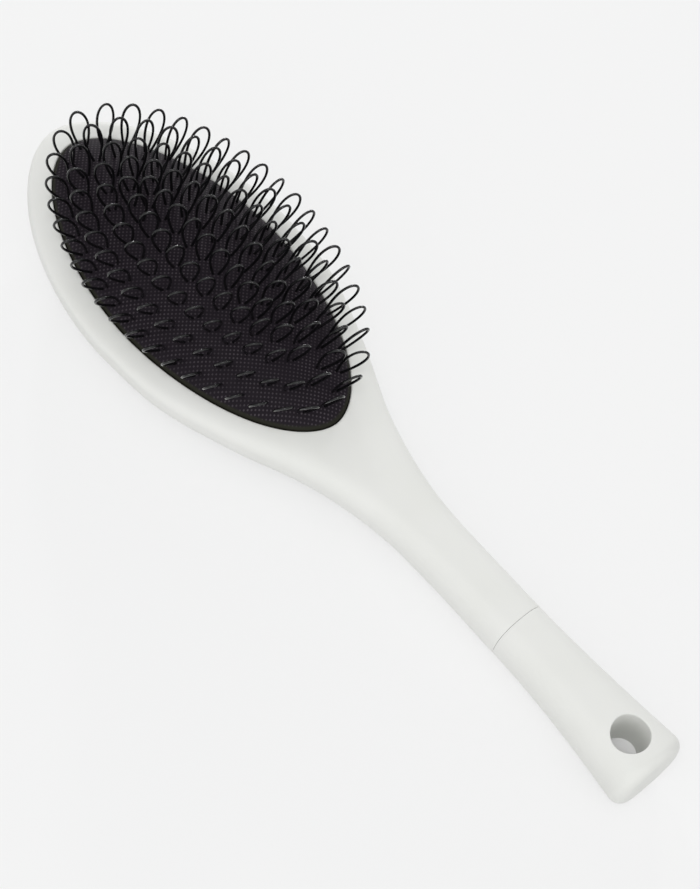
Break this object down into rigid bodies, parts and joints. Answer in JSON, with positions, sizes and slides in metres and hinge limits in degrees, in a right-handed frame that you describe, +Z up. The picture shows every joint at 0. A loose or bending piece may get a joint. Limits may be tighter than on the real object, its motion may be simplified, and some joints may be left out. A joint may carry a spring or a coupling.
{
  "type": "detangling brush",
  "caption": "Oval hand brush with a domed air cushion of rounded nylon loops that lean outwards, a slim waisted handle and a separate flared tail with a hanging hole.",
  "frame": {"origin": "centre of the bounding box in X and Y, on the table that the brush lies on", "axes": "+X from the nose of the head to the end of the tail, +Z up, the way the loops point, +Y to the left of somebody who looks from the nose towards the tail"},
  "size_m": [0.238, 0.0656, 0.043],
  "materials": {
    "soft_touch_body": "matte off-white soft-touch plastic, smooth",
    "cushion_rubber": "matte dark grey rubber with a fine dotted grain",
    "nylon": "glossy black nylon filament"
  },
  "bodies": {
    "brush_body": {"head_and_handle": "soft_touch_body", "handle_tail": "soft_touch_body", "cushion_flange": "cushion_rubber"},
    "cushion_crown": {"loop_ring_1": "nylon", "loop_ring_2": "nylon", "loop_ring_3": "nylon", "loop_ring_4": "nylon", "loop_middle_row": "nylon"}
  },
  "joints": [
    {"name": "cushion_press", "type": "slide", "parent": "brush_body", "child": "cushion_crown", "axis": [0, 0, 1], "range_m": [-0.0025, 0], "stiffness_N_per_m": 1500}
  ]
}
